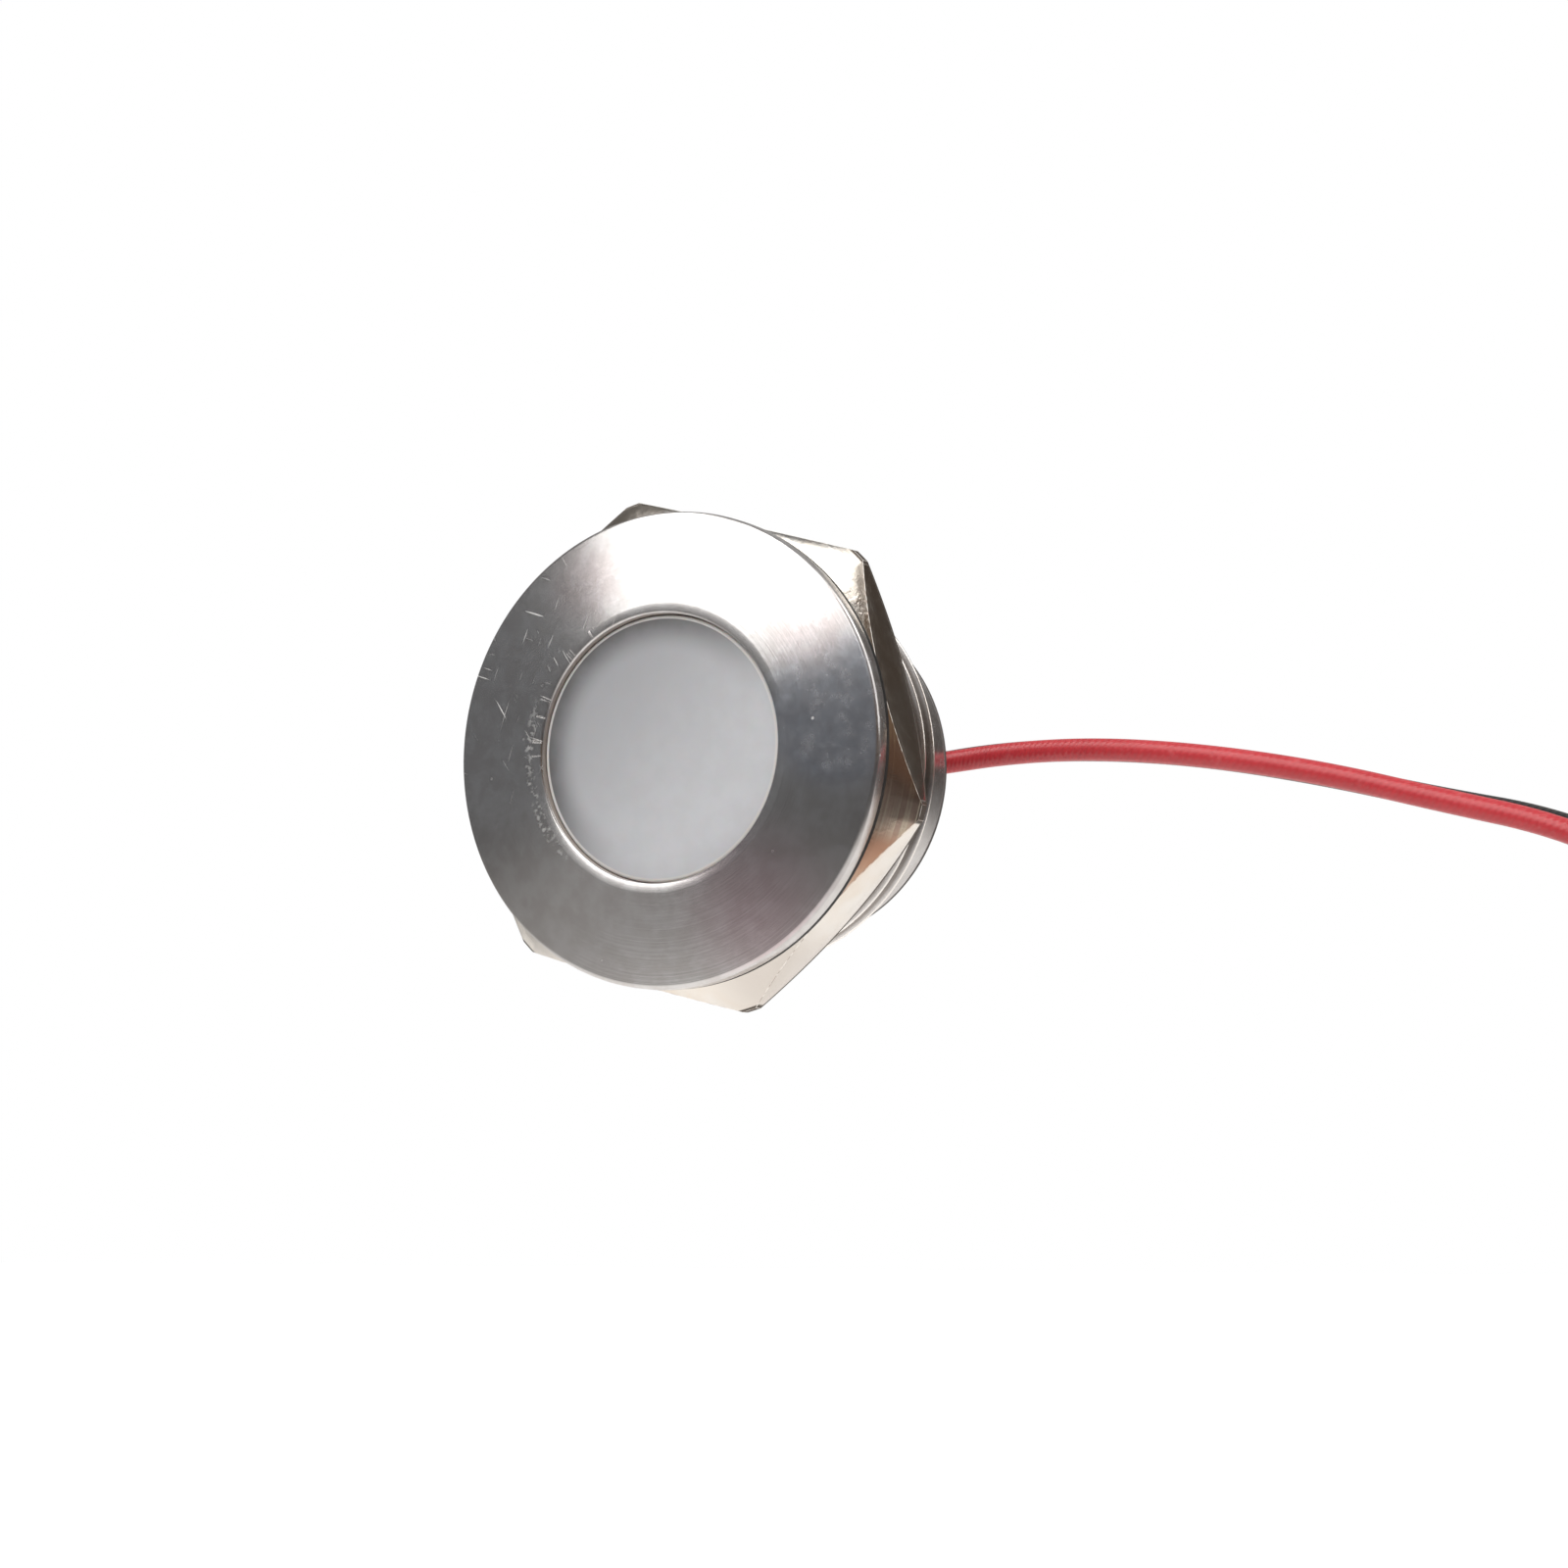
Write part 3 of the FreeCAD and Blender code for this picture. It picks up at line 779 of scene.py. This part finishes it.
nylon, tree, shader, at = new_material("black_nylon", (0.025, 0.025, 0.027), 0.45)
fibres = fade(tree, noise(tree, at, 2400, 5), 0.55, 0.8, 0.0, 0.6)
feed(tree, shader.inputs["Base Color"], tint(tree, fibres, (0.022, 0.022, 0.024), (0.06, 0.06, 0.062)))
feed(tree, shader.inputs["Roughness"], fade(tree, noise(tree, at, 200), 0.3, 0.7, 0.38, 0.55))
feed(tree, shader.inputs["Normal"], relief(tree, noise(tree, at, 5200), 0.012))
dress(["rear_plug"], nylon)

# Lens seal: a flat ring punched from black rubber sheet, like the panel gasket. The lens's flange presses
# it against the bezel's lip.
dress(["lens_seal"], rubber)

# Reflector cup and board spacer: white polycarbonate, moulded, with faint flow lines. The cup holds the
# lens in its place, and the spacer holds the board against the cup.
white_plastic, tree, shader, at = new_material("white_plastic", (0.83, 0.83, 0.81), 0.35)
flow = fade(tree, noise(tree, at, 180, 4, Distortion=1.5), 0.35, 0.7)
feed(tree, shader.inputs["Base Color"], tint(tree, flow, (0.84, 0.84, 0.82), (0.78, 0.775, 0.75)))
feed(tree, shader.inputs["Normal"], relief(tree, noise(tree, at, 2000), 0.003))
dress(["reflector_cup", "board_spacer"], white_plastic)

# Circuit board: glass fibre with its weave, and green solder mask over copper tracks that run round it.
# It is clamped between cup and spacer.
board, tree, shader, at = new_material("green_board", (0.04, 0.2, 0.09), 0.3)
lathe = use_group(tree, turning_marks, {"Vector": at, "Per Metre": 420})
track = fade(tree, lathe["Marks"], 0.5, 0.53)
masked = tint(tree, track, (0.035, 0.17, 0.08), (0.07, 0.27, 0.12))
weave = fade(tree, noise(tree, at, 1400, 2), 0.4, 0.6, 0.0, 0.2)
feed(tree, shader.inputs["Base Color"], tint(tree, weave, masked, (0.03, 0.13, 0.07)))
feed(tree, shader.inputs["Normal"], relief(tree, track, 0.03))
dress(["led_board"], board)

# Light-emitting diodes: six cases filled with a yellow phosphor gel, soldered in a ring on the board's
# front.
phosphor, tree, shader, at = new_material("phosphor_gel", (0.85, 0.72, 0.3), 0.25)
speckle = fade(tree, noise(tree, at, 3200, 3), 0.4, 0.65)
feed(tree, shader.inputs["Base Color"], tint(tree, speckle, (0.86, 0.76, 0.36), (0.8, 0.62, 0.2)))
feed(tree, shader.inputs["Normal"], relief(tree, speckle, 0.01))
dress(["led_1", "led_2", "led_3", "led_4", "led_5", "led_6"], phosphor)

# Resistors and polarity diode: black moulded bodies with tinned ends, soldered on the board's back and seen
# only with the board out.
moulded, tree, shader, at = new_material("component_black", (0.03, 0.03, 0.032), 0.4)
sides = add_node(tree, "SeparateXYZ", {0: at})
from_middle = reckon(tree, "ABSOLUTE", sides.outputs["X"])
outer_end = fade(tree, from_middle, 4.5 * mm, 4.6 * mm)
inner_end = fade(tree, reckon(tree, "ABSOLUTE", reckon(tree, "SUBTRACT", from_middle, 2.0 * mm)), 0.3 * mm,
                 0.2 * mm)
capped = reckon(tree, "MAXIMUM", outer_end, inner_end)
feed(tree, shader.inputs["Base Color"], tint(tree, capped, (0.03, 0.03, 0.032), (0.6, 0.6, 0.58)))
feed(tree, shader.inputs["Metallic"], capped)
feed(tree, shader.inputs["Normal"], relief(tree, noise(tree, at, 3000), 0.01))
dress(["resistor_1", "resistor_2", "polarity_diode"], moulded)

# Solder joints: bright tin and lead, smooth, with a few dull patches of flux. They hold the leads' inner
# ends on the board.
solder, tree, shader, at = new_material("solder", (0.62, 0.62, 0.6), 0.22, 1.0)
flux = fade(tree, noise(tree, at, 900, 3), 0.58, 0.7)
feed(tree, shader.inputs["Base Color"], tint(tree, flux, (0.64, 0.64, 0.62), (0.5, 0.42, 0.28)))
feed(tree, shader.inputs["Normal"], relief(tree, noise(tree, at, 900), 0.02))
dress(["red_solder_joint", "black_solder_joint"], solder)


# Studio: a pale paper floor under the hanging leads, in a dim room that is white for the camera only. Four
# soft lamps stand at the front, the top and the right, and soft round cards in the room give the turned
# metal its bright fan and its dark bands.
floor_z = -0.088
floor_size = 6
lamp_distance = 0.8
bpy.ops.object.select_all(action="DESELECT")
bpy.ops.mesh.primitive_plane_add(size=floor_size, location=(0, 0, floor_z))
floor = bpy.context.object
floor.name = "floor"
paper, tree, shader, at = new_material("floor_paper", (0.86, 0.85, 0.84), 0.9)
away = add_node(tree, "VectorMath", {0: at}, operation="LENGTH").outputs["Value"]
sides = add_node(tree, "SeparateXYZ", {0: at})
behind = fade(tree, sides.outputs["Y"], 0.02, 0.1)
to_right = fade(tree, sides.outputs["X"], 0.0, 0.09)
back_left = fade(tree, sides.outputs["X"], -0.12, -0.6)

# What the camera and the metal see of the paper: white for the camera further out, so that the object's
# shadow stays, and a grey sheet that gets darker away from the object for the metal.
ways = tree.nodes.new("ShaderNodeLightPath")
lift = fade(tree, away, 0.08, 0.25, 0.35, 1.0)
for_camera = reckon(tree, "MULTIPLY", ways.outputs["Is Camera Ray"], lift)
front_sheet = tint(tree, fade(tree, away, 0.06, 0.18), (0.34, 0.33, 0.32), (0, 0, 0))
front_sheet = tint(tree, to_right, front_sheet, (0, 0, 0))
back_sheet = tint(tree, fade(tree, away, 0.3, 0.6), (0.4, 0.385, 0.37), (0.08, 0.07, 0.065))
back_sheet = tint(tree, back_left, back_sheet, (0.02, 0.02, 0.02))
sheet = tint(tree, behind, front_sheet, back_sheet)
only_metal = tint(tree, ways.outputs["Is Glossy Ray"], (0, 0, 0), sheet)
shown = tint(tree, ways.outputs["Is Camera Ray"], only_metal, (1, 1, 1))
feed(tree, shader.inputs["Emission Color"], shown)
feed(tree, shader.inputs["Emission Strength"],
     reckon(tree, "MAXIMUM", for_camera, ways.outputs["Is Glossy Ray"]))

# The paper's colour: pale near the object, and dark far off and at the back left, which is painted shade.
dark_from = fade(tree, behind, 0, 1, 0.1, 0.34)
far_off = fade(tree, reckon(tree, "SUBTRACT", away, dark_from), 0.0, 0.18)
shaded_far_and_back_left = reckon(tree, "MAXIMUM", far_off, back_left)
slanted = reckon(tree, "MULTIPLY_ADD", sides.outputs["Y"], -0.62, sides.outputs["X"])
far_shade_colour = tint(tree, fade(tree, slanted, 0.02, -0.15), (0.1, 0.097, 0.1), (0.27, 0.265, 0.26))
feed(tree, shader.inputs["Base Color"], tint(tree, shaded_far_and_back_left, (0.86, 0.85, 0.84), far_shade_colour))
floor.data.materials.append(paper)


def hang_card(tree, toward, direction, inner, outer, room_colour, colour):
    """A soft round card in this direction, full inside the inner distance, gone at the outer one."""
    off_card = add_node(tree, "VectorMath", {0: toward, 1: direction}, operation="DISTANCE")
    return tint(tree, fade(tree, off_card.outputs["Value"], outer, inner), room_colour, colour)


# The room: dark cards behind, and at the sides a dark wall, a pale glow and one bright card.
room = bpy.data.worlds.new("room")
bpy.context.scene.world = room
room.use_nodes = True
tree = room.node_tree
toward = add_node(tree, "TexCoord", {}).outputs["Generated"]
sides = add_node(tree, "SeparateXYZ", {0: toward})
behind = fade(tree, sides.outputs["Y"], 0.1, 0.5)
front_room = tint(tree, fade(tree, sides.outputs["X"], 0.3, 0.6), (0.165, 0.168, 0.174), (0.14, 0.1, 0.075))
back_room = tint(tree, fade(tree, sides.outputs["Z"], 0.1, 0.5), (0.22, 0.21, 0.2), (0.45, 0.44, 0.43))
for direction, inner, outer in (
    ((0.363, 0.876, 0.3185), 0.27, 0.42),
    ((-0.4716, 0.8758, 0.1028), 0.15, 0.3),
):
    back_room = hang_card(tree, toward, direction, inner, outer, back_room, (0.062, 0.05, 0.042))
around = tint(tree, behind, front_room, back_room)
for direction, inner, outer, colour in (
    ((-0.645, 0.1, 0.764), 0.25, 0.5, (0.12, 0.115, 0.11)),
    ((0.39, -0.77, 0.5), 0.12, 0.3, (0.6, 0.59, 0.58)),
    ((0.567, -0.031, 0.823), 0.2, 0.32, (1.7, 1.66, 1.6)),
):
    around = hang_card(tree, toward, direction, inner, outer, around, colour)
ways = tree.nodes.new("ShaderNodeLightPath")
shown = tint(tree, ways.outputs["Is Camera Ray"], around, (1, 1, 1))
feed(tree, tree.nodes["Background"].inputs["Color"], shown)


def soft_lamp(name, azimuth, elevation, roll, width, height, radiance):
    """A rectangular soft lamp, placed by its direction from the light and aimed at it."""
    a, e = math.radians(azimuth), math.radians(elevation)
    back = Vector((math.sin(a) * math.cos(e), -math.cos(a) * math.cos(e), math.sin(e)))
    bpy.ops.object.light_add(type="AREA", location=back * lamp_distance)
    lamp = bpy.context.object
    lamp.name = name
    across = Vector((0, 0, 1)).cross(back).normalized()
    turned_axes = Matrix((across, back.cross(across), back)).transposed() @ Matrix.Rotation(
        math.radians(roll), 3, "Z")
    lamp.rotation_euler = turned_axes.to_euler()
    lamp.data.shape = "RECTANGLE"
    lamp.data.size = width
    lamp.data.size_y = height
    lamp.data.energy = radiance * math.pi * width * height
    lamp.data.color = (1.0, 0.98, 0.955)


soft_lamp("lead_lamp", -67, 60, 0, 0.3, 0.3, 3.2)
soft_lamp("key_lamp", -18, 42, 20, 0.77, 0.7, 2.6)
soft_lamp("top_lamp", 19, 63, 0, 0.5, 0.4, 2.3)
soft_lamp("side_lamp", 97, 33, 0, 0.3, 0.74, 2.2)
